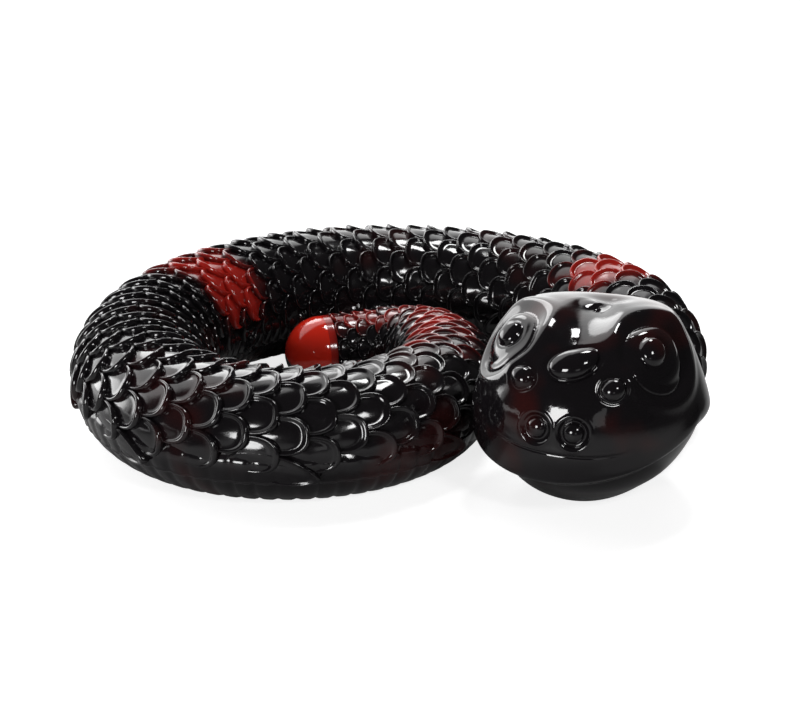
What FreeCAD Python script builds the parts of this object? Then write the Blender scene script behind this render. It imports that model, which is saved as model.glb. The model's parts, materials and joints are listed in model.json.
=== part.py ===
import FreeCAD, Part
import math
import os

os.makedirs("parts", exist_ok=True)

# A soft squeeze snake lying coiled on its belly: one moulded rubber skin, a loose filling inside
# it and a rubber plug that closes the tail. Skin and filling bend anywhere along their length, so
# both are divided here into short lengths that hinge on one another.
# Frame: millimetres, +Z up, belly resting on z = 0, origin under the middle of the coil.

V = FreeCAD.Vector
UP = V(0, 0, 1)

# --- skin, filling and fits ---------------------------------------------------------------
WALL = 2.4             # thickness of the moulded skin
FILLING_GAP = 0.2      # skin to filling
LENGTH_GAP = 0.1       # each cut face stands back this far from the hinge plane
HEIGHT_TO_WIDTH = 0.95  # the body sags a little under its own weight
BELLY = 0.94           # height of the widest point above the floor, in half-heights
HINGE_SHIFT = 0.35     # hinges lie this share of the half-width towards the outside of the bend,
                       # because packed grains resist squeezing more than the skin resists stretch

# --- centreline seen from above, from the tip of the tail to the back of the head -----------
TAIL_TIP = (-26.5, 19.9)
TAIL_HEADING = 15.5    # degrees from +X
# name, length along the centreline, clockwise turn, hinged lengths, body width at its end
RUNS = [
    ("tail", 19.0, 4.0, 1, 18.4),
    ("tail_bend", 21.0, 80.0, 3, 22.6),
    ("front", 44.0, 46.0, 2, 28.4),
    ("left", 80.0, 134.0, 6, 31.4),
    ("back", 106.0, 100.0, 5, 31.6),
    ("right", 82.0, 77.0, 4, 30.8),
    ("neck_bend", 35.0, 48.0, 2, 26.8),
    ("neck", 14.0, 0.0, 2, 26.0),
]
TAIL_TIP_WIDTH = 16.6

# --- movement, degrees ----------------------------------------------------------------------
LIFTS = {              # hinges that bend up off the floor: the length ahead of the hinge, range
    ("tail_bend", 1): 30.0,
    ("neck", 1): 25.0,
    ("head", 1): 20.0,
}
HEAD_TURN = ("neck", 2)
HEAD_TURN_RANGE = 30.0

# --- tail plug ------------------------------------------------------------------------------
PLUG_LENGTH = 9.5      # the smooth dome outside the skin
STEM_RADIUS = 3.4
STEM_LENGTH = 4.6
BARB_RADIUS = 4.2
BARB_LENGTH = 1.6
PLUG_GAP = 0.1

# --- head -------------------------------------------------------------------------------------
HEAD_WIDTH = 51.5      # the head is as long as it is wide
HEAD_HEIGHT = 43.4
HEAD_SETBACK = 3.6     # how far the neck reaches in past the back of the head
CHIN_FLAT = 0.7        # how far the chin is pressed flat
EYE_BEARING = 50.0     # bearings from the nose and rises above the head's middle, degrees
EYE_RISE = 45.0
BROW_RADIUS = 9.6
BROW_HEIGHT = 1.6      # how far the brow stands out of the head
EYE_HOLLOW_RADIUS = 8.0
EYE_BEAD_RADIUS = 3.0
NOSTRIL_BEARING = 9.5
NOSTRIL_RISE = 4.0
NOSTRIL_RADIUS = 2.4
MOUTH_RISE = -11.0
MOUTH_GROOVE = 1.2
MOUTH_DEPTH = 1.1


def centreline():
    """Hinge stations along the body: (run name, number in run, distance, x, y, body width)."""
    x, y = TAIL_TIP
    heading = math.radians(TAIL_HEADING)
    stations = [("tail", 1, 0.0, x, y, TAIL_TIP_WIDTH)]
    distance = 0.0
    width = TAIL_TIP_WIDTH
    for index, (name, length, turn, count, end_width) in enumerate(RUNS):
        step = length / count
        bend = math.radians(turn) / count
        chord = step if bend == 0 else 2 * step / bend * math.sin(bend / 2)
        start_width = width
        for number in range(1, count + 1):
            x += chord * math.cos(heading - bend / 2)
            y += chord * math.sin(heading - bend / 2)
            heading -= bend
            distance += step
            width = start_width + (end_width - start_width) * number / count
            following = (name, number + 1)
            if number == count:
                following = (RUNS[index + 1][0], 1) if index + 1 < len(RUNS) else ("head", 1)
            stations.append((following[0], following[1], distance, x, y, width))
    return stations


def direction(start, end):
    """Unit vector in plan from one station to the next."""
    return V(end[3] - start[3], end[4] - start[4], 0).normalize()


def turned(vector, axis, degrees):
    return FreeCAD.Rotation(axis, degrees).multVec(vector)


def section(width, inset):
    """Outline of the body across its length: an ellipse whose foot dips below the floor."""
    half_height = HEIGHT_TO_WIDTH * width / (1 + BELLY)
    middle = BELLY * half_height
    across = width / 2 - inset
    up = half_height - inset
    ellipse = Part.Ellipse(V(0, across, middle), V(0, 0, middle + up), V(0, 0, middle))
    return Part.Wire([ellipse.toShape()])


def placed(shape, x, y, ahead):
    """Stand a shape drawn looking along +X at a point of the centreline."""
    moved = shape.copy()
    heading = math.degrees(math.atan2(ahead.y, ahead.x))
    moved.Placement = FreeCAD.Placement(V(x, y, 0), FreeCAD.Rotation(UP, heading))
    return moved


def middle_height(width):
    return BELLY * HEIGHT_TO_WIDTH * width / (1 + BELLY)


def rod(start, end, inset, overrun):
    """Solid length of body between two stations, run on past both ends and pressed flat below."""
    ahead = direction(start, end)
    length = math.hypot(end[3] - start[3], end[4] - start[4])
    growth = (end[5] - start[5]) / length
    wires = []
    for station, shift in ((start, -overrun), (end, overrun)):
        wire = section(station[5] + growth * shift, inset)
        wires.append(placed(wire, station[3] + ahead.x * shift, station[4] + ahead.y * shift, ahead))
    return Part.makeLoft(wires, True, True).common(above(inset))


def above(height):
    """Large block that keeps only what lies above a height."""
    size = 400.0
    return Part.makeBox(size, size, size, V(-size / 2, -size / 2, height))


def kept_side(point, outward, gap):
    """Large block on the inner side of a plane through a point, standing back by a gap."""
    size = 160.0
    block = Part.makeBox(size, size, size, V(-size / 2, -size / 2, -size - gap))
    block.Placement = FreeCAD.Placement(point, FreeCAD.Rotation(UP, outward))
    return block


def hinges(stations):
    """Where each length meets the next, its axis and the room its faces need."""
    found = []
    for index in range(1, len(stations)):
        station = stations[index]
        before = direction(stations[index - 1], station)
        after = before
        if index + 1 < len(stations):
            after = direction(station, stations[index + 1])
        mitre = (before + after).normalize()
        bend = math.degrees(before.getAngle(after))
        point = V(station[3], station[4], middle_height(station[5]))
        key = (station[0], station[1])
        if key in LIFTS:
            axis = mitre.cross(UP)
            faces = {"before": [turned(mitre, axis, LIFTS[key] / 2), mitre],
                     "after": [turned(-mitre, axis, -LIFTS[key] / 2), -mitre]}
        elif key == HEAD_TURN:
            room = HEAD_TURN_RANGE / 2
            faces = {"before": [turned(mitre, UP, room), mitre],
                     "after": [turned(-mitre, UP, -room), -mitre]}
        else:
            point = point + UP.cross(mitre) * (HINGE_SHIFT * station[5] / 2)
            faces = {"before": [before, turned(before, UP, -bend / 2)],
                     "after": [-after, turned(-after, UP, bend / 2)]}
        found.append({"point": point, "faces": faces})
    return found


def trimmed(shape, hinge, side, gap):
    """Cut one end of a length back to its hinge faces."""
    for outward in hinge["faces"][side]:
        shape = shape.common(kept_side(hinge["point"], outward, gap))
    return shape


def body_length(start, end, first_hinge, last_hinge, inset, gap):
    shape = rod(start, end, inset, 12.0)
    shape = trimmed(shape, last_hinge, "before", gap)
    if first_hinge is not None:
        shape = trimmed(shape, first_hinge, "after", gap)
    return shape


def skin_length(start, end, first_hinge, last_hinge):
    """Tube of skin, open at both ends where the real skin runs on."""
    outside = body_length(start, end, first_hinge, last_hinge, 0.0, LENGTH_GAP)
    return outside.cut(rod(start, end, WALL, 14.0))


def filling_length(start, end, first_hinge, last_hinge):
    return body_length(start, end, first_hinge, last_hinge, WALL + FILLING_GAP, 2 * LENGTH_GAP)


def behind(start, ahead, distance):
    """Block that keeps only what lies further along the tail than a distance from its tip."""
    point = V(start[3], start[4], 0) + ahead * distance
    return kept_side(point, -ahead, 0.0)


def tail_skin(start, end, last_hinge):
    """First length of skin: a tube with an end wall and the hole the filling goes in by."""
    ahead = direction(start, end)
    outside = body_length(start, end, None, last_hinge, 0.0, LENGTH_GAP)
    outside = outside.common(behind(start, ahead, PLUG_LENGTH + PLUG_GAP))
    inside = rod(start, end, WALL, 14.0)
    inside = inside.common(behind(start, ahead, PLUG_LENGTH + PLUG_GAP + WALL))
    hole_end = V(start[3], start[4], middle_height(TAIL_TIP_WIDTH))
    hole = Part.makeCylinder(STEM_RADIUS + PLUG_GAP, PLUG_LENGTH + 2 * WALL, hole_end, ahead)
    return outside.cut(inside).cut(hole)


def tail_filling(start, end, last_hinge):
    ahead = direction(start, end)
    shape = body_length(start, end, None, last_hinge, WALL + FILLING_GAP, 2 * LENGTH_GAP)
    return shape.common(behind(start, ahead, PLUG_LENGTH + STEM_LENGTH + FILLING_GAP))


def bun(centre, width, height, floor):
    """Round in plan with a half-round edge, flat on top and pressed flat at the floor."""
    rim = height / 2
    hub = width / 2 - rim
    low = floor - centre.z
    corner = math.asin(low / rim)
    foot = V(hub + rim * math.cos(corner), 0, low)
    side = Part.Arc(foot, V(hub + rim, 0, 0), V(hub, 0, rim))
    outline = Part.Wire([
        Part.LineSegment(V(0, 0, low), foot).toShape(),
        side.toShape(),
        Part.LineSegment(V(hub, 0, rim), V(0, 0, rim)).toShape(),
        Part.LineSegment(V(0, 0, rim), V(0, 0, low)).toShape(),
    ])
    solid = Part.Face(outline).revolve(V(0, 0, 0), UP, 360)
    return solid.translated(centre)


def tail_plug(start, end):
    """Smooth blunt dome outside the skin with a barbed stem through the end wall."""
    ahead = direction(start, end)
    width = start[5] + (end[5] - start[5]) * PLUG_LENGTH / end[2]
    radius = HEIGHT_TO_WIDTH * width / 2
    base = V(start[3], start[4], middle_height(width)) + ahead * PLUG_LENGTH
    crown = base - ahead * (PLUG_LENGTH - radius)
    dome = Part.makeSphere(radius, crown).fuse(Part.makeCylinder(radius, PLUG_LENGTH, crown, ahead))
    dome = dome.common(kept_side(base, ahead, 0.0)).common(above(0.0))
    stem_start = V(start[3], start[4], middle_height(TAIL_TIP_WIDTH)) + ahead * (PLUG_LENGTH - 2)
    stem = Part.makeCylinder(STEM_RADIUS, STEM_LENGTH + 2, stem_start, ahead)
    barb_start = stem_start + ahead * (STEM_LENGTH + 2 - BARB_LENGTH)
    barb = Part.makeCone(BARB_RADIUS, STEM_RADIUS, BARB_LENGTH, barb_start, ahead)
    return dome.fuse(stem).fuse(barb).removeSplitter()


def on_head(centre, ahead, bearing, rise, depth):
    """Point on the head's surface, sunk by a depth."""
    level = turned(ahead, UP, bearing)
    outward = level * math.cos(math.radians(rise)) + UP * math.sin(math.radians(rise))
    rim = HEAD_HEIGHT / 2
    return centre + level * (HEAD_WIDTH / 2 - rim) + outward * (rim - depth)


def head_frame(stations):
    """Middle of the head and the way it faces."""
    ahead = direction(stations[-2], stations[-1])
    back = V(stations[-1][3], stations[-1][4], HEAD_HEIGHT / 2 - CHIN_FLAT)
    return back + ahead * (HEAD_WIDTH / 2 - HEAD_SETBACK), ahead


def mouth_groove(centre, ahead):
    """Thin level slot round the front of the head, stopping part way through the skin."""
    mouth = on_head(centre, ahead, 0.0, MOUTH_RISE, 0.0)
    slot = Part.makeBox(HEAD_WIDTH, HEAD_WIDTH * 1.2, MOUTH_GROOVE,
                        V(HEAD_WIDTH / 6, -HEAD_WIDTH * 0.6, -MOUTH_GROOVE / 2))
    slot = placed(slot, centre.x, centre.y, ahead).translated(V(0, 0, mouth.z))
    core = bun(centre, HEAD_WIDTH - 2 * MOUTH_DEPTH, HEAD_HEIGHT - 2 * MOUTH_DEPTH, MOUTH_DEPTH)
    return slot.cut(core)


def head_skin(stations, neck_hinge):
    """Bulbous head: brows, eye hollows with beads, ringed nostrils and a mouth line."""
    centre, ahead = head_frame(stations)
    head = bun(centre, HEAD_WIDTH, HEAD_HEIGHT, 0.0)
    for side in (-1, 1):
        brow = on_head(centre, ahead, side * EYE_BEARING, EYE_RISE, BROW_RADIUS - BROW_HEIGHT)
        hollow = on_head(centre, ahead, side * EYE_BEARING, EYE_RISE, 1.0 - EYE_HOLLOW_RADIUS)
        bead = on_head(centre, ahead, side * EYE_BEARING, EYE_RISE, EYE_BEAD_RADIUS / 2)
        nostril = on_head(centre, ahead, side * NOSTRIL_BEARING, NOSTRIL_RISE, NOSTRIL_RADIUS / 2)
        head = head.fuse(Part.makeSphere(BROW_RADIUS, brow))
        head = head.cut(Part.makeSphere(EYE_HOLLOW_RADIUS, hollow))
        head = head.fuse(Part.makeSphere(EYE_BEAD_RADIUS, bead))
        head = head.fuse(Part.makeSphere(NOSTRIL_RADIUS, nostril))
    head = head.cut(mouth_groove(centre, ahead))
    head = head.cut(bun(centre, HEAD_WIDTH - 2 * WALL, HEAD_HEIGHT - 2 * WALL, WALL))
    return trimmed(head, neck_hinge, "after", LENGTH_GAP)


def head_filling(stations, neck_hinge):
    centre, ahead = head_frame(stations)
    inset = WALL + FILLING_GAP
    shape = bun(centre, HEAD_WIDTH - 2 * inset, HEAD_HEIGHT - 2 * inset, inset)
    return trimmed(shape, neck_hinge, "after", 2 * LENGTH_GAP)


def save(name, shape):
    solid = shape.Solids[0]
    print(name, "solids", len(shape.Solids), "valid", solid.isValid(), "volume", round(solid.Volume, 1))
    solid.exportStep("parts/" + name + ".step")


stations = centreline()
joints = hinges(stations)
save("tail_plug", tail_plug(stations[0], stations[1]))
save("skin_tail_1", tail_skin(stations[0], stations[1], joints[0]))
save("filling_tail_1", tail_filling(stations[0], stations[1], joints[0]))
for index in range(1, len(stations) - 1):
    name, number = stations[index][:2]
    ends = (stations[index], stations[index + 1], joints[index - 1], joints[index])
    save("skin_%s_%d" % (name, number), skin_length(*ends))
    save("filling_%s_%d" % (name, number), filling_length(*ends))
save("head_skin", head_skin(stations, joints[-1]))
save("head_filling", head_filling(stations, joints[-1]))
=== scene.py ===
"""Looks of the coiled squeeze snake: scaly rubber skin, bulbous head, red tail plug, loose filling."""

import json
import math

import bpy
import numpy as np
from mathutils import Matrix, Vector

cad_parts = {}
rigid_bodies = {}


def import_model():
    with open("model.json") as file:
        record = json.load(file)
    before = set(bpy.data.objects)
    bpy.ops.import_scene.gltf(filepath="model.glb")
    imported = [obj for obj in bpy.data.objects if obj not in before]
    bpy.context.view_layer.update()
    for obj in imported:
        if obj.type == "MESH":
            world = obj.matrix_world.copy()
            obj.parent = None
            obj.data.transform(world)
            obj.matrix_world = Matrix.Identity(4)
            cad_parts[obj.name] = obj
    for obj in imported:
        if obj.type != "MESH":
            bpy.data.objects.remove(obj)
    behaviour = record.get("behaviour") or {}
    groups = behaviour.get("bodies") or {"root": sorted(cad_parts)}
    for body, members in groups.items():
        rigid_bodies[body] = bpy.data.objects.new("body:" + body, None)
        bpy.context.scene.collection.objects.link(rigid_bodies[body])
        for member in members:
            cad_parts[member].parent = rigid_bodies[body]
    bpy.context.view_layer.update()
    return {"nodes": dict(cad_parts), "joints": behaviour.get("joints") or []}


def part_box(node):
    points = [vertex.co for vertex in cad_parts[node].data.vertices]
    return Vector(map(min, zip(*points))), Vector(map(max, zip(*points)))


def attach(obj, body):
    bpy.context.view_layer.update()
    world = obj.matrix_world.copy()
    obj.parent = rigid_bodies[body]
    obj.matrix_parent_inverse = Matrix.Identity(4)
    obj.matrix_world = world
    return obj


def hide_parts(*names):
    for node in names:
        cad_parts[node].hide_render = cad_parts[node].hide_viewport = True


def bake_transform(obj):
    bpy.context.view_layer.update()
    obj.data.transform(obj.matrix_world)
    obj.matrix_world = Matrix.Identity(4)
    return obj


# --- cross-section of the body, as in the CAD frame ----------------------------------------------
HEIGHT_TO_WIDTH = 0.95  # the body sags a little under its own weight
BELLY = 0.94            # height of the widest point above the floor, in half-heights
HINGE_SHIFT = 0.35      # bend hinges lie this share of the half-width outside the centreline

# --- scales, as shares of the body's width unless they say otherwise -----------------------------
ROW_PITCH = 0.155       # along the body from one row to the next
COLUMN_ANGLE = 17.6     # degrees round the body from one column to the next
LAST_COLUMN = 5
SCALE_DEPTH = 0.050     # from a free edge down to the scale two rows on
SCALE_CROWN = 0.009     # from the middle of a scale down to its sides
RIM_HEIGHT = 0.024
OUTLINE_POWER = 0.80    # 1 makes a scale's outline an ellipse, less makes it squarer
BURIED_REACH = 1.3      # length of a scale's buried half, in row pitches
SCUTE_PITCH = 0.115     # plates across the belly
SCUTE_DEPTH = 0.012
GROOVE_DEPTH = 1.2      # skin between the scales lies this many scale depths down
BELLY_EDGE = 95.0       # degrees from the top where scales give way to belly plates
MOULD_LINE = 117.0      # degrees from the top to the fine line along the belly
LEAF_EVERY = 6          # rows from one long leaf-shaped scale at the belly edge to the next
LEAF_ANGLE = 103.0
LEAF_HALF_ANGLE = 15.0
LEAF_LENGTH = 1.3       # against a plain scale
LEAF_LEAN = 0.40        # how far its tip hangs down, as a share of its length
LEAF_LIFT = 0.012
SMOOTH_TAIL = 0.0116    # metres of smooth skin and plug at the tail before the first scales
ROOT_DEPTH = 0.0022     # metres that the buried end of a scale may reach below the skin
THROAT = 0.011          # metres of body that narrow into the back of the head past its hinge
NARROWING = 0.4         # how much of its size the body loses there

# --- camera --------------------------------------------------------------------------------------
CAMERA_TARGET = Vector((0.0019, 0.0088, 0.012))
CAMERA_DISTANCE = 0.5482
CAMERA_RISE = 19.43     # degrees
CAMERA_LENS = 101.7     # millimetres on a 36 mm sensor


def smoothstep(values, low, high):
    """Rise from 0 at low to 1 at high, level at both ends."""
    share = np.clip((values - low) / (high - low), 0.0, 1.0)
    return share * share * (3 - 2 * share)


# --- centreline ----------------------------------------------------------------------------------
def chain(joints):
    """Bodies in order from the tail to the head, and the joint between each pair of neighbours."""
    links = {}
    for joint in joints:
        links.setdefault(joint["parent"], []).append((joint["child"], joint))
        links.setdefault(joint["child"], []).append((joint["parent"], joint))
    bodies = ["tail_1"]
    crossed = []
    while bodies[-1] != "head":
        for neighbour, joint in links[bodies[-1]]:
            if neighbour not in bodies:
                bodies.append(neighbour)
                crossed.append(joint)
                break
    return bodies, crossed


def unit(vectors):
    """The same directions, one unit long."""
    return vectors / np.linalg.norm(vectors, axis=-1, keepdims=True)


def bisectors(points):
    """Direction of the centreline at each of its points."""
    legs = unit(np.diff(points, axis=0))
    return unit(np.vstack([legs[:1], legs[:-1] + legs[1:], legs[-1:]]))


def leftward(ahead):
    """Level directions to the left of the way ahead."""
    return np.stack([-ahead[..., 1], ahead[..., 0]], axis=-1)


def width_at_height(middle):
    """Body width where the middle of the section is this high."""
    return middle * (1 + BELLY) / (BELLY * HEIGHT_TO_WIDTH)


class Centreline:
    """Smooth line through the tail tip and the joints, with the body's width along it."""

    def __init__(self, joints, plug):
        hinges = np.array([joint["pos_m"] for joint in joints])
        bends = np.array([joint["name"].startswith(("bend", "uncoil")) for joint in joints])
        corners = np.array([vertex.co for vertex in plug.data.vertices])
        away = np.linalg.norm(corners[:, :2] - hinges[0, :2], axis=1)
        tip = corners[np.argmax(away), :2]
        plug_height = corners[:, 2].max()
        tip_width = plug_height / HEIGHT_TO_WIDTH / (BELLY / (1 + BELLY) + 0.5)
        widths = np.append(tip_width, width_at_height(hinges[:, 2]))
        shift = np.append(0.0, HINGE_SHIFT * widths[1:] / 2 * bends)[:, None]
        marks = np.vstack([tip, hinges[:, :2]])
        points = marks
        for _ in range(8):
            points = marks - leftward(bisectors(points)) * shift
        self.points = points
        self.ahead = bisectors(points)
        self.widths = widths
        self.chords = np.linalg.norm(np.diff(points, axis=0), axis=1)
        self.places = np.append(0.0, np.cumsum(self.chords))

    def at(self, place):
        """Point, direction and body width at distances from the tail tip."""
        place = np.asarray(place, float)
        index = np.clip(np.searchsorted(self.places, place) - 1, 0, len(self.chords) - 1)
        chord = self.chords[index][..., None]
        inside = np.clip(place, 0.0, self.places[-1])
        beyond = (place - inside)[..., None]
        t = (inside - self.places[index])[..., None] / chord
        start = self.points[index]
        end = self.points[index + 1]
        leave = self.ahead[index] * chord
        arrive = self.ahead[index + 1] * chord
        point = ((2 * t**3 - 3 * t**2 + 1) * start + (t**3 - 2 * t**2 + t) * leave
                 + (3 * t**2 - 2 * t**3) * end + (t**3 - t**2) * arrive)
        slope = ((6 * t**2 - 6 * t) * (start - end) + (3 * t**2 - 4 * t + 1) * leave
                 + (3 * t**2 - 2 * t) * arrive)
        ahead = unit(slope)
        width = self.widths[index] + (self.widths[index + 1] - self.widths[index]) * t[..., 0]
        return point + ahead * beyond, ahead, width

    def marks(self, pitch):
        """Close distances from the tail tip, and how many pitches lie behind each of them.

        The pitch is a share of the body's width."""
        fine = np.linspace(0.0, self.places[-1] + THROAT, 4000)
        width = self.at(fine)[2]
        steps = np.diff(fine) / (pitch * (width[1:] + width[:-1]) / 2)
        count = np.append(0.0, np.cumsum(steps))
        return fine, count


def skin_points(line, place, angle, height):
    """Points on the body: distance from the tail tip, degrees from the top, height above the skin."""
    point, ahead, width = line.at(place)
    turn = np.radians(angle)
    across = width / 2
    up = HEIGHT_TO_WIDTH * width / (1 + BELLY)
    normal = unit(np.stack([np.sin(turn) / across, np.cos(turn) / up], axis=-1))
    throat = 1 - NARROWING * np.clip((place - line.places[-1]) / THROAT, 0, 1) ** 2
    side = throat * (across * np.sin(turn) + height * normal[..., 0])
    rise = up * (1 + BELLY * throat + (np.cos(turn) - 1) * throat) + throat * height * normal[..., 1]
    plan = point + leftward(ahead) * side[..., None]
    return np.concatenate([plan, np.maximum(rise, 0.0002)[..., None]], axis=-1)


# --- meshes --------------------------------------------------------------------------------------
def new_object(name, points, faces, red, material):
    """Smooth-shaded mesh that remembers where it lay at rest and how red it is."""
    mesh = bpy.data.meshes.new(name)
    mesh.from_pydata(points.tolist(), [], faces)
    mesh.shade_smooth()
    redness = mesh.attributes.new("redness", "FLOAT", "POINT")
    redness.data.foreach_set("value", red.astype(np.float32))
    rest = mesh.attributes.new("rest_place", "FLOAT_VECTOR", "POINT")
    rest.data.foreach_set("vector", points.astype(np.float32).ravel())
    mesh.materials.append(material)
    made = bpy.data.objects.new(name, mesh)
    bpy.context.scene.collection.objects.link(made)
    return made


def grid_faces(rings, around, first):
    """Quads between closed rings of points stored one ring after another."""
    faces = []
    for ring in range(rings - 1):
        for step in range(around):
            low = first + ring * around
            high = low + around
            following = (step + 1) % around
            faces.append((low + step, low + following, high + following, high + step))
    return faces


def scale_template():
    """One scale: share of the pitch from its free edge, half-widths across, height over its face."""
    around = np.radians(np.concatenate([np.linspace(-115, 115, 21), np.linspace(145, 215, 4)]))
    across = np.sign(np.sin(around)) * np.abs(np.sin(around)) ** OUTLINE_POWER
    along = -np.sign(np.cos(around)) * np.abs(np.cos(around)) ** OUTLINE_POWER
    reach = np.where(along < 0, 1.0, BURIED_REACH)
    # share of the outline and height there: up the outside, over the rounded rim, across the face
    profile = [(1.02, -0.060), (1.05, -0.040), (1.055, -0.018), (1.04, 0.002), (1.00, 0.75 * RIM_HEIGHT),
               (0.95, RIM_HEIGHT), (0.90, 0.92 * RIM_HEIGHT), (0.85, 0.5 * RIM_HEIGHT),
               (0.805, 0.08 * RIM_HEIGHT), (0.75, -0.002), (0.60, 0.0), (0.30, 0.004), (0.0, 0.005)]
    rows = []
    for share, height in profile:
        low = -SCALE_CROWN * (across * share) ** 2
        rows.append(np.stack([1 + along * reach * share, across * share, height + low], axis=-1))
    return np.concatenate(rows), len(profile), len(around)


def leaf_template(side):
    """One long pointed scale at the edge of the belly, leaning down to its free tip."""
    points, rings, around = scale_template()
    along = points[:, 0] - 1
    pointed = np.where(along < 0, np.clip(1.05 + along, 0, 1) ** 0.32, 1.0)
    across = points[:, 1] * pointed - side * LEAF_LEAN * along
    height = points[:, 2] + LEAF_LIFT
    return np.stack([1 + along * LEAF_LENGTH, across, height], axis=-1), rings, around


def own_strength(tips, angles):
    """Steady but irregular strength of the red on each scale, about 1."""
    return 0.85 + 0.35 * np.sin(7919 * (tips * 97 + angles))


def scale_set(line, template, tips, angles, half_angle, bands):
    """All the scales that share a template, each with its free edge at a tip, and how red they are."""
    local, rings, around = template
    width = line.at(tips)[2][:, None]
    along = local[None, :, 0] * ROW_PITCH
    place = tips[:, None] + along * width
    angle = angles[:, None] + local[None, :, 1] * half_angle
    tilt = SCALE_DEPTH * local[None, :, 0] / 2
    height = np.maximum((local[None, :, 2] - tilt) * width, -ROOT_DEPTH)
    points = skin_points(line, place, angle, height).reshape(-1, 3)
    faces = []
    for number in range(len(tips)):
        faces += grid_faces(rings, around, number * len(local))
    middle = tips + ROW_PITCH * width[:, 0]
    own = redness(bands, middle, angles) * own_strength(tips, angles)
    # rims are painted a lighter red than the faces: a painted highlight along each rim
    rim = smoothstep(local[:, 2], 0.2 * RIM_HEIGHT, 0.8 * RIM_HEIGHT)
    strength = FACE_REDNESS + (RIM_HIGHLIGHT_REDNESS - FACE_REDNESS) * rim
    red = (0.6 * own[:, None] + 0.4 * redness(bands, place, angle)) * strength
    return points, faces, red.ravel()


# --- colour along the body -----------------------------------------------------------------------
RED_STRETCHES = [
    # from this body and share of it, to this body and share, middle and half-width in degrees, strength
    ("tail_1", -1.0, "tail_1", 0.62, 0, 115, 1.3),
    ("tail_1", 0.5, "left_1", 0.2, -5, 45, 0.70),
    ("front_1", 0.1, "front_1", 1.0, -5, 26, 0.90),
    ("left_4", 0.7, "left_5", 0.7, -8, 28, 0.55),
    ("back_3", 0.25, "back_4", 0.35, -25, 62, 1.1),
    ("right_4", 0.3, "neck_bend_1", 0.3, -5, 42, 1.15),
]
FADE = 0.007            # metres over which a red stretch fades out at each end
GAP_REDNESS = 0.45      # how red the grooves are, as a share of the scales beside them
FACE_REDNESS = 0.88     # how red the middle of a scale is, as a share of its stretch
RIM_HIGHLIGHT_REDNESS = 1.13      # how red its rim is: redder than the face, a painted highlight along each rim


def red_bands(line, bodies):
    """The red stretches as distances from the tail tip, with their spread round the body."""
    def place(body, share):
        index = bodies.index(body)
        return line.places[index] + share * (line.places[index + 1] - line.places[index])

    return [(place(first, near), place(last, far), middle, half, strength)
            for first, near, last, far, middle, half, strength in RED_STRETCHES]


def redness(bands, place, angle):
    """How red the skin is there, 0 to 1."""
    total = np.zeros(np.broadcast(place, angle).shape)
    for start, end, middle, half, strength in bands:
        along = smoothstep(place, start - FADE, start + FADE) * smoothstep(-place, -end - FADE, -end + FADE)
        round_body = smoothstep(half - np.abs(angle - middle), -14, 14)
        total = np.maximum(total, strength * along * round_body)
    return total


# --- skin ----------------------------------------------------------------------------------------
def base_height(line, place, angle):
    """Skin between and under the scales, ridged with plates across the belly, over the nominal skin."""
    width = line.at(place)[2]
    fine, count = line.marks(SCUTE_PITCH)
    phase = np.interp(place, fine, count) % 1.0
    ridge = -0.25 - 0.35 * phase - np.exp(-(np.minimum(phase, 1 - phase) / 0.15) ** 2)
    line_height = 0.5 * np.exp(-((np.abs(angle) - MOULD_LINE) / 0.9) ** 2)
    belly = smoothstep(np.abs(angle), BELLY_EDGE - 9, BELLY_EDGE + 3)
    scaled = smoothstep(place, SMOOTH_TAIL - 0.0002, SMOOTH_TAIL + 0.0008)
    plates = SCUTE_DEPTH * (ridge + line_height)
    return width * scaled * (belly * plates - (1 - belly) * GROOVE_DEPTH * SCALE_DEPTH)


def base_tube(line, start, end):
    """Tube of skin between two distances from the tail tip, and where its points lie on the body."""
    fine, count = line.marks(SCUTE_PITCH)
    first, last = np.interp([start, end], fine, count)
    inner = np.arange(math.ceil(first * 8 + 0.3), math.floor(last * 8 - 0.3) + 1) / 8
    rings = np.concatenate([[start], np.interp(inner, count, fine), [end]])
    fine_line = MOULD_LINE + np.array([-2.2, -1.1, -0.5, 0.0, 0.5, 1.1, 2.2])
    around = np.sort(np.concatenate([np.linspace(-180, 180, 88, endpoint=False), fine_line, -fine_line]))
    place, angle = np.meshgrid(rings, around, indexing="ij")
    height = base_height(line, place, angle)
    points = skin_points(line, place, angle, height).reshape(-1, 3)
    return points, grid_faces(len(rings), len(around), 0), place.ravel(), angle.ravel()


def rows_of_scales(line):
    """Free edges of every scale on the body: plain ones, then the long leaves at the belly edge."""
    fine, count = line.marks(ROW_PITCH)
    first = np.interp(SMOOTH_TAIL, fine, count)
    last = count[-1]
    plain = []
    leaves = []
    for row in range(int(last - first)):
        tip = float(np.interp(first + row, count, fine))
        for column in range(-LAST_COLUMN, LAST_COLUMN + 1):
            if (column + row) % 2 == 0:
                plain.append((tip, column * COLUMN_ANGLE))
        for side in (-1, 1):
            if row % LEAF_EVERY == 3 + side and tip > 2 * SMOOTH_TAIL:
                leaves.append((tip, side * LEAF_ANGLE))
    return np.array(plain), np.array(leaves)


def within(marks, start, end):
    """The scales whose middles lie between two distances from the tail tip."""
    return marks[(marks[:, 0] >= start) & (marks[:, 0] < end)]


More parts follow.
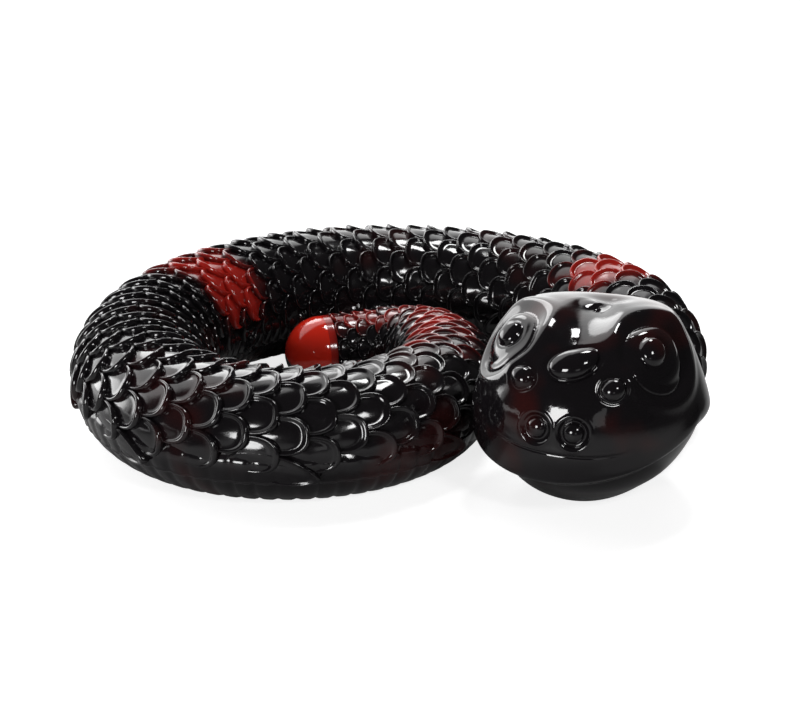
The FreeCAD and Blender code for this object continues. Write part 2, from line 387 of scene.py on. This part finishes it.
def skin_piece(name, line, bands, scales, start, end, material):
    """One stretch of skin with its scales."""
    plain, leaves = scales
    points, faces, place, angle = base_tube(line, start, end)
    between = np.where(place < SMOOTH_TAIL, 1.0, GAP_REDNESS)
    sets = [(points, faces, redness(bands, place, angle) * between)]
    kinds = [(scale_template(), plain, COLUMN_ANGLE)]
    for side in (-1, 1):
        kinds.append((leaf_template(side), leaves[leaves[:, 1] * side > 0], LEAF_HALF_ANGLE))
    for template, tips, half_angle in kinds:
        marks = within(tips, start, end)
        if len(marks):
            sets.append(scale_set(line, template, marks[:, 0], marks[:, 1], half_angle, bands))
    points = []
    faces = []
    red = []
    count = 0
    for set_points, set_faces, set_red in sets:
        faces += [tuple(corner + count for corner in face) for face in set_faces]
        points.append(set_points)
        red.append(set_red)
        count += len(set_points)
    return new_object(name, np.concatenate(points), faces, np.concatenate(red), material)


def build_skin(frame, line, bodies, material):
    """Skin from the plug to the head: the tail's end, then one stretch over each joint."""
    bands = red_bands(line, bodies)
    scales = rows_of_scales(line)
    seam = plug_seam(frame, line)
    limits = [(seam + line.places[1]) / 2]
    limits += list((line.places[1:-1] + line.places[2:]) / 2)
    limits.append(line.places[-1] + THROAT)
    end_piece = skin_piece("tail_end_skin", line, bands, scales, seam, limits[0], material)
    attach(end_piece, "tail_1")
    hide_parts("skin_tail_1")
    for number, (rear, front) in enumerate(zip(bodies[:-1], bodies[1:])):
        span = (limits[number], limits[number + 1])
        piece = skin_piece("scaly_skin_" + front, line, bands, scales, *span, material)
        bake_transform(piece)
        if front != "head":
            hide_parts("skin_" + front)


# --- tail plug -----------------------------------------------------------------------------------
def plug_seam(frame, line):
    """Distance from the tail tip at which the skin begins."""
    corners = np.array([vertex.co for vertex in frame["nodes"]["skin_tail_1"].data.vertices])
    return float(((corners[:, :2] - line.points[0]) @ line.ahead[0]).min())


def build_plug(frame, line, bodies, material):
    """Smooth red dome that closes the tail."""
    seam = plug_seam(frame, line) - 0.0001
    reach = line.widths[0] / 2
    share = np.sin(np.linspace(0.02, math.pi / 2, 24))
    rings = np.concatenate([reach * (1 - np.cos(np.arcsin(share))), [seam, seam + 0.0004]])
    fullness = np.concatenate([share, [1.0, 0.99]])
    around = np.linspace(-180, 180, 64, endpoint=False)
    place, angle = np.meshgrid(rings, around, indexing="ij")
    width = line.at(place)[2]
    height = (fullness[:, None] - 1) * width / 2
    points = skin_points(line, place, angle, height).reshape(-1, 3)
    faces = grid_faces(len(rings), len(around), 0)
    faces.append(tuple(range(len(around))))
    red = redness(red_bands(line, bodies), place.ravel(), angle.ravel())
    plug = new_object("tail_plug_dome", points, faces, red, material)
    plug.data.set_sharp_from_angle(angle=math.radians(60))
    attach(plug, "tail_1")
    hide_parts("tail_plug")


# --- head ----------------------------------------------------------------------------------------
MM = 0.001
CHIN_FLAT = 0.7 * MM    # how far the chin is pressed flat
HEAD_YAW = 5.1          # degrees the face looks to the head's left of the neck
HEAD_ROLL = 2.2         # degrees the crown leans to the head's left
FACE_RISE = 20.0        # degrees the middle of the face stands above the head's middle

# Middles of the features as bearing and rise; those away from the middle stand on both sides.
EYE_SOCKET = (60, 45)
EYEBALL = (57, 43)
EYE_BEAD = (53, 47)
OVAL_BUMP = (2, 44)
SMALL_BUMP = (25, 30)
BUMP_FLARE = (32, 33)
NOSTRIL = (9.3, 5.0)
NOSE_BEARING = -2.5     # degrees the nostrils are off the middle of the face
MOUTH_RISE = -8.8


class HeadForm:
    """Round head measured from its CAD box, and the way its face looks.

    Places on it are a bearing, in degrees from the middle of the face to the head's left, and a rise."""

    def __init__(self, line):
        low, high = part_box("head_skin")
        self.half_width = (high.x - low.x) / 2
        self.half_height = (high.z + CHIN_FLAT) / 2
        self.centre = np.array([(low.x + high.x) / 2, low.y + self.half_width, high.z - self.half_height])
        yaw = math.radians(HEAD_YAW)
        roll = math.radians(HEAD_ROLL)
        ahead = line.ahead[-1] * math.cos(yaw) + leftward(line.ahead[-1]) * math.sin(yaw)
        self.ahead = np.append(ahead, 0.0)
        level_left = np.append(leftward(ahead), 0.0)
        self.left = level_left * math.cos(roll) - np.array([0, 0, math.sin(roll)])
        self.up = level_left * math.sin(roll) + np.array([0, 0, math.cos(roll)])

    def spread(self, bearing, rise, middle, turn=0.0):
        """Distances over the surface from a feature, sideways and upward, in axes turned by degrees."""
        level = np.cos(np.radians((rise + middle[1]) / 2))
        sideways = np.radians(bearing - middle[0]) * self.half_width * level
        upward = np.radians(rise - middle[1]) * self.half_height
        cos = math.cos(math.radians(turn))
        sin = math.sin(math.radians(turn))
        return sideways * cos + upward * sin, upward * cos - sideways * sin

    def away(self, bearing, rise, middle, half_length, half_height, turn=0.0):
        """Distance from a feature's middle as a share of its size."""
        sideways, upward = self.spread(bearing, rise, middle, turn)
        return np.hypot(sideways / half_length, upward / half_height)


def dome(share):
    """Rounded bump, 1 at its middle and 0 from its foot outward."""
    return np.clip(1 - share**2, 0, 1) ** 0.6


def hill(share):
    """Smooth rise, 1 at its middle and dying away without an edge."""
    return np.exp(-(share**2))


def round_from(bearing, middle):
    """Degrees round the head from a middle, the short way."""
    return (bearing - middle + 180) % 360 - 180


def brows(form, bearing, rise):
    """Two lobes over the eyes with a valley between them, and the dimple on the crown."""
    side = np.abs(bearing)
    relief = 2.0 * MM * hill((side - 85) / 55) * hill((rise - 54) / 20)
    relief += 1.3 * MM * hill(round_from(bearing, 100) / 55) * hill((rise - 62) / 20)
    across = np.radians(side) * form.half_width * np.cos(np.radians(np.clip(rise, 0, 84)))
    relief += 1.0 * MM * smoothstep(across, 1 * MM, 7 * MM) * smoothstep(rise, 44, 60)
    relief -= 0.5 * MM * hill(across / (3.0 * MM)) * smoothstep(rise, 46, 60)
    crown = (np.radians(rise - 90) * form.half_height, np.radians(bearing) * form.half_height)
    ahead = -crown[0] * np.cos(np.radians(bearing)) + 2.5 * MM
    left = -crown[0] * np.sin(np.radians(bearing)) - 1.5 * MM
    return relief - 1.1 * MM * hill(np.hypot(ahead / (2.2 * MM), left / (3.0 * MM)))


def eyes(form, bearing, rise):
    """Round eyeballs in sockets under heavy lids, each with a bead on it."""
    side = np.abs(bearing)
    share = form.away(side, rise, EYE_SOCKET, 9.7 * MM, 9.7 * MM)
    relief = 0.35 * MM * hill((share - 1.04) / 0.18)
    relief -= 1.6 * MM * (1 - smoothstep(share, 0.60, 1.0))
    relief += 2.3 * MM * dome(form.away(side, rise, EYEBALL, 7.6 * MM, 7.2 * MM))
    bead = form.away(side, rise, EYE_BEAD, 2.7 * MM, 2.6 * MM)
    return relief + 1.4 * MM * dome(bead) - 0.25 * MM * hill((bead - 1.1) / 0.15)


def bumps(form, bearing, rise):
    """Oval bump in the middle of the forehead and a small one beside it under each eye."""
    oval = form.away(bearing, rise, OVAL_BUMP, 5.2 * MM, 3.2 * MM, 24)
    relief = 2.0 * MM * dome(oval) - 0.35 * MM * hill((oval - 1.12) / 0.12)
    small = form.away(np.abs(bearing), rise, SMALL_BUMP, 2.5 * MM, 2.3 * MM)
    relief += 1.5 * MM * dome(small) - 0.25 * MM * hill((small - 1.15) / 0.2)
    flare = form.away(np.abs(bearing), rise, BUMP_FLARE, 6 * MM, 3.0 * MM, 35)
    return relief + 0.8 * MM * hill(flare)


def nostrils(form, bearing, rise):
    """Beads in round shallow dishes."""
    share = form.away(np.abs(bearing - NOSE_BEARING), rise, NOSTRIL, 3.6 * MM, 3.6 * MM)
    relief = -0.75 * MM * (1 - smoothstep(share, 0.75, 1.0)) + 0.15 * MM * hill((share - 1.08) / 0.1)
    return relief + 1.35 * MM * dome(share / 0.64)


def mouth(form, bearing, rise):
    """Fine slit that turns up at its ends, with a soft lip over it."""
    middle = MOUTH_RISE + 3.5 * (np.abs(bearing) / 34) ** 3
    slit = np.radians(rise - middle) * form.half_height
    ends = 1 - smoothstep(np.abs(bearing), 20, 40)
    return ends * MM * (0.14 * hill((slit - 0.9 * MM) / (0.8 * MM)) - 0.28 * hill(slit / (0.35 * MM)))


def jaw(form, bearing, rise):
    """Low ridge round the lower head, under which the head turns in to the chin."""
    edge = np.clip(-27 + 0.16 * bearing + 0.0034 * bearing**2, -34, 6)
    below = np.radians(edge - rise) * form.half_height
    front = 1 - smoothstep(np.abs(bearing), 70, 110)
    corner = hill(round_from(bearing, 92) / 30) * hill((rise + 1) / 16)
    ridge = 0.3 * hill(below / (2.0 * MM)) * front + 0.9 * corner
    side = smoothstep(np.abs(bearing), 0, 60)
    nape = smoothstep(np.abs(bearing), 95, 140)
    deepest = 1.9 + 0.35 * side - 1.6 * nape
    chin = -90 + 16 * hill(round_from(bearing, -95) / 55)
    hollow = deepest * smoothstep(below, 0.0, 5 * MM) * smoothstep(rise, chin, chin + 40)
    return MM * (ridge - hollow)


def head_relief(form, bearing, rise):
    """Height of the face's features over the plain round head, a little flatter on its right."""
    relief = brows(form, bearing, rise) + eyes(form, bearing, rise) + bumps(form, bearing, rise)
    relief += nostrils(form, bearing, rise) + mouth(form, bearing, rise) + jaw(form, bearing, rise)
    return relief - 1.0 * MM * hill(round_from(bearing, -85) / 30) * hill((rise - 15) / 22)


def head_points(form, away, around):
    """Points on the head in rings round the middle of the face: degrees from it, and round it."""
    face_rise = math.radians(FACE_RISE)
    face = form.ahead * math.cos(face_rise) + form.up * math.sin(face_rise)
    crown = -form.ahead * math.sin(face_rise) + form.up * math.cos(face_rise)
    far, turn = np.meshgrid(np.radians(away), np.radians(around), indexing="ij")
    ray = (np.cos(far)[..., None] * face + (np.sin(far) * np.cos(turn))[..., None] * crown
           + (np.sin(far) * np.sin(turn))[..., None] * form.left)
    rise = np.degrees(np.arcsin(np.clip(ray @ form.up, -1, 1)))
    bearing = np.degrees(np.arctan2(ray @ form.left, ray @ form.ahead))
    flat = ray * np.array([1, 1, 0])
    level = np.linalg.norm(flat, axis=-1, keepdims=True)
    rim = form.half_height + head_relief(form, bearing, rise)
    hub = (form.half_width - form.half_height) * level ** np.where(rise > 0, 0.5, 0.2)[..., None]
    points = form.centre + flat / np.maximum(level, 1e-6) * hub + ray * rim[..., None]
    points[..., 2] = np.maximum(points[..., 2], 0.0002)
    return points.reshape(-1, 3)


def build_head(form, material):
    """The head as one closed mesh, finest on the face."""
    away = np.concatenate([np.linspace(0.3, 105, 230), np.linspace(107, 179.7, 36)])
    around = np.linspace(0, 360, 370, endpoint=False)
    points = head_points(form, away, around)
    faces = grid_faces(len(away), len(around), 0)
    faces.append(tuple(reversed(range(len(around)))))
    faces.append(tuple(range(len(points) - len(around), len(points))))
    head = new_object("snake_head", points, faces, np.zeros(len(points)), material)
    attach(head, "head")
    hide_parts("head_skin")


# --- materials -----------------------------------------------------------------------------------
BLACK = (0.006, 0.005, 0.006)
DARK_TINGE = (0.040, 0.005, 0.004)
SKIN_RED = (0.34, 0.015, 0.010)
PLUG_RED = (0.60, 0.022, 0.010)
DARK_GRAIN = (0.50, 0.40, 0.28)
PALE_GRAIN = (0.70, 0.60, 0.46)


def new_material(name):
    """Material with an empty principled shader."""
    material = bpy.data.materials.new(name)
    material.use_nodes = True
    tree = material.node_tree
    tree.nodes.clear()
    output = tree.nodes.new("ShaderNodeOutputMaterial")
    shader = tree.nodes.new("ShaderNodeBsdfPrincipled")
    tree.links.new(shader.outputs[0], output.inputs["Surface"])
    return material, tree, shader


def noise(tree, place, scale, detail):
    """Noise that stays put on the skin: its factor output."""
    made = tree.nodes.new("ShaderNodeTexNoise")
    made.inputs["Scale"].default_value = scale
    made.inputs["Detail"].default_value = detail
    tree.links.new(place, made.inputs["Vector"])
    return made.outputs[0]


def remap(tree, value, low, high, to_low, to_high):
    """Value eased from one range to another."""
    made = tree.nodes.new("ShaderNodeMapRange")
    made.interpolation_type = "SMOOTHSTEP"
    tree.links.new(value, made.inputs[0])
    for index, number in enumerate((low, high, to_low, to_high)):
        made.inputs[index + 1].default_value = number
    return made.outputs[0]


def combine(tree, operation, first, second):
    """One arithmetic step on two values, each a number or another node's output."""
    made = tree.nodes.new("ShaderNodeMath")
    made.operation = operation
    for socket, value in ((made.inputs[0], first), (made.inputs[1], second)):
        if isinstance(value, (int, float)):
            socket.default_value = value
        else:
            tree.links.new(value, socket)
    return made.outputs[0]


def mixed(tree, factor, first, second):
    """Colour between two colours, each a colour or another node's output."""
    made = tree.nodes.new("ShaderNodeMix")
    made.data_type = "RGBA"
    tree.links.new(factor, made.inputs[0])
    for socket, value in ((made.inputs[6], first), (made.inputs[7], second)):
        if isinstance(value, tuple):
            socket.default_value = (*value, 1.0)
        else:
            tree.links.new(value, socket)
    return made.outputs[2]


def rubber(name, shine, tinge_strength, red):
    """Glossy black rubber with red stretches and a little dark red showing through it."""
    material, tree, shader = new_material(name)
    rest = tree.nodes.new("ShaderNodeAttribute")
    rest.attribute_name = "rest_place"
    place = rest.outputs["Vector"]
    band = tree.nodes.new("ShaderNodeAttribute")
    band.attribute_name = "redness"
    cloud = noise(tree, place, 110.0, 3.0)
    fade = combine(tree, "ADD", band.outputs["Fac"], combine(tree, "MULTIPLY", cloud, 0.7))
    shown = combine(tree, "POWER", remap(tree, fade, 0.60, 1.35, 0.0, 1.0), 1.6)
    tinge = remap(tree, noise(tree, place, 60.0, 2.0), 0.52, 0.72, 0.0, tinge_strength)
    dark = mixed(tree, tinge, BLACK, DARK_TINGE)
    colour = mixed(tree, shown, dark, red)
    tree.links.new(colour, shader.inputs["Base Color"])
    sheen = remap(tree, noise(tree, place, 260.0, 2.0), 0.3, 0.7, shine, 1.6 * shine)
    tree.links.new(sheen, shader.inputs["Roughness"])
    shader.inputs["IOR"].default_value = 1.5
    bump = tree.nodes.new("ShaderNodeBump")
    bump.inputs["Strength"].default_value = 0.05
    bump.inputs["Distance"].default_value = 0.0003
    tree.links.new(noise(tree, place, 900.0, 2.0), bump.inputs["Height"])
    tree.links.new(bump.outputs[0], shader.inputs["Normal"])
    return material


def grey(level):
    """Grey colour of the given brightness."""
    return (level, level, level)


def granules():
    """Loose pale granular filling."""
    material, tree, shader = new_material("granular_filling")
    place = tree.nodes.new("ShaderNodeTexCoord").outputs["Object"]
    grains = tree.nodes.new("ShaderNodeTexVoronoi")
    grains.inputs["Scale"].default_value = 1400.0
    tree.links.new(place, grains.inputs["Vector"])
    shade = remap(tree, noise(tree, place, 500.0, 2.0), 0.3, 0.7, 0.0, 1.0)
    colour = mixed(tree, shade, DARK_GRAIN, PALE_GRAIN)
    tree.links.new(colour, shader.inputs["Base Color"])
    shader.inputs["Roughness"].default_value = 0.8
    bump = tree.nodes.new("ShaderNodeBump")
    bump.inputs["Strength"].default_value = 0.8
    bump.inputs["Distance"].default_value = 0.0005
    tree.links.new(grains.outputs["Distance"], bump.inputs["Height"])
    tree.links.new(bump.outputs[0], shader.inputs["Normal"])
    return material


def dress_filling(frame, material):
    """Give every charge of filling the granular material."""
    for name, node in frame["nodes"].items():
        if "filling" in name:
            node.data.materials.clear()
            node.data.materials.append(material)


def pale_floor():
    """Pale floor that the camera sees white and the glossy skin mirrors only close by; in reflections its
    colour is a painted pool of light, grey near the object and fading to dark further out.
    """
    material, tree, shader = new_material("pale_floor")
    place = tree.nodes.new("ShaderNodeTexCoord").outputs["Object"]
    seen = tree.nodes.new("ShaderNodeLightPath").outputs["Is Camera Ray"]
    shade = mixed(tree, noise(tree, place, 3.0, 1.0), grey(0.50), grey(0.53))
    reach = tree.nodes.new("ShaderNodeVectorMath")
    reach.operation = "LENGTH"
    tree.links.new(place, reach.inputs[0])
    # painted pool of light: the floor's colour in reflections is grey near the object and fades to dark
    # further out
    near = remap(tree, reach.outputs["Value"], 0.10, 0.26, 0.42, 0.05)
    painted_pool = mixed(tree, near, grey(0.0), grey(1.0))
    tree.links.new(mixed(tree, seen, painted_pool, shade), shader.inputs["Base Color"])
    shader.inputs["Roughness"].default_value = 0.6
    shader.inputs["Specular IOR Level"].default_value = 0.1
    behind = tree.nodes.new("ShaderNodeVectorMath")
    behind.operation = "DOT_PRODUCT"
    behind.inputs[1].default_value = direction(BACKDROP[0], 0.0)
    tree.links.new(place, behind.inputs[0])
    lit = remap(tree, behind.outputs["Value"], 0.06, 0.20, 0.0, 1.5)
    mirrored = combine(tree, "MULTIPLY", lit, combine(tree, "SUBTRACT", 1.0, seen))
    shine = combine(tree, "MAXIMUM", combine(tree, "MULTIPLY", seen, 0.80), mirrored)
    shader.inputs["Emission Color"].default_value = (1.0, 1.0, 1.0, 1.0)
    tree.links.new(shine, shader.inputs["Emission Strength"])
    return material


# --- surroundings --------------------------------------------------------------------------------
FLOOR_REACH = 3.0       # metres from the middle of the object


def build_floor():
    """Flat pale floor that the object rests on."""
    mesh = bpy.data.meshes.new("floor")
    corners = [(side * FLOOR_REACH, way * FLOOR_REACH, 0)
               for side, way in ((-1, -1), (1, -1), (1, 1), (-1, 1))]
    mesh.from_pydata(corners, [], [(0, 1, 2, 3)])
    mesh.materials.append(pale_floor())
    floor = bpy.data.objects.new("floor", mesh)
    bpy.context.scene.collection.objects.link(floor)


# Bright parts of the studio: bearing of the middle from +x, rise, reach and softness in degrees, strength.
BACKDROP = (122.0, 15.0, 50.0, 5.0, 2.0)
BIG_SOFTBOX = (108.0, 34.0, 13.0, 2.5, 4.5)
SIDE_SOFTBOX = (150.0, 4.0, 17.0, 2.5, 4.5)
DARKNESS = 0.04


def direction(bearing, rise):
    """Unit vector at degrees from +x and degrees above the floor."""
    level = math.cos(math.radians(rise))
    return Vector((level * math.cos(math.radians(bearing)), level * math.sin(math.radians(bearing)),
                   math.sin(math.radians(rise))))


def glow(tree, way, bearing, rise, reach, softness, strength):
    """Round bright patch of the surroundings."""
    facing = tree.nodes.new("ShaderNodeVectorMath")
    facing.operation = "DOT_PRODUCT"
    facing.inputs[1].default_value = direction(bearing, rise)
    tree.links.new(way, facing.inputs[0])
    outer = math.cos(math.radians(reach + softness))
    inner = math.cos(math.radians(reach - softness))
    return remap(tree, facing.outputs["Value"], outer, inner, 0.0, strength)


def build_world():
    """Dark studio with a white backdrop and two softboxes, behind the object and to its left."""
    world = bpy.data.worlds.new("studio")
    bpy.context.scene.world = world
    world.use_nodes = True
    tree = world.node_tree
    tree.nodes.clear()
    output = tree.nodes.new("ShaderNodeOutputWorld")
    background = tree.nodes.new("ShaderNodeBackground")
    tree.links.new(background.outputs[0], output.inputs[0])
    way = tree.nodes.new("ShaderNodeTexCoord").outputs["Generated"]
    strength = combine(tree, "ADD", glow(tree, way, *BACKDROP), DARKNESS)
    for softbox in (BIG_SOFTBOX, SIDE_SOFTBOX):
        strength = combine(tree, "ADD", strength, glow(tree, way, *softbox))
    background.inputs["Color"].default_value = (1, 1, 1, 1)
    tree.links.new(strength, background.inputs["Strength"])


# Lamps: name, bearing from +x and rise in degrees, distance and size in metres, watts.
SOFT_LIGHTS = [
    ("overhead", 60, 69, 0.7, 0.16, 2.0),
    ("front_left", -118, 11, 0.8, 0.20, 2.6),
    ("front_fill", -82, 4, 0.8, 0.16, 0.06),
    ("front_right", -62, 34, 0.8, 0.12, 1.2),
]


def soft_light(name, bearing, rise, distance, size, power):
    """Square soft light that looks at the middle of the object."""
    data = bpy.data.lights.new(name, "AREA")
    data.shape = "SQUARE"
    data.size = size
    data.energy = power
    light = bpy.data.objects.new(name, data)
    way = direction(bearing, rise)
    light.location = CAMERA_TARGET + way * distance
    light.rotation_euler = (-way).to_track_quat("-Z", "Y").to_euler()
    bpy.context.scene.collection.objects.link(light)


def build_camera():
    """Camera in front of the object, a little above it."""
    data = bpy.data.cameras.new("camera")
    data.lens = CAMERA_LENS
    data.sensor_width = 36.0
    camera = bpy.data.objects.new("camera", data)
    way = direction(-90, CAMERA_RISE)
    camera.location = CAMERA_TARGET + way * CAMERA_DISTANCE
    camera.rotation_euler = (-way).to_track_quat("-Z", "Y").to_euler()
    bpy.context.scene.collection.objects.link(camera)
    bpy.context.scene.camera = camera


def main():
    """Build the object, its surroundings and the camera."""
    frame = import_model()
    bodies, joints = chain(frame["joints"])
    line = Centreline(joints, frame["nodes"]["tail_plug"])
    build_skin(frame, line, bodies, rubber("scaly_rubber", 0.10, 0.45, SKIN_RED))
    build_plug(frame, line, bodies, rubber("red_rubber", 0.05, 0.45, PLUG_RED))
    build_head(HeadForm(line), rubber("smooth_rubber", 0.05, 0.6, SKIN_RED))
    dress_filling(frame, granules())
    build_floor()
    build_world()
    for light in SOFT_LIGHTS:
        soft_light(*light)
    build_camera()
    bpy.context.scene.view_settings.view_transform = "Standard"


main()
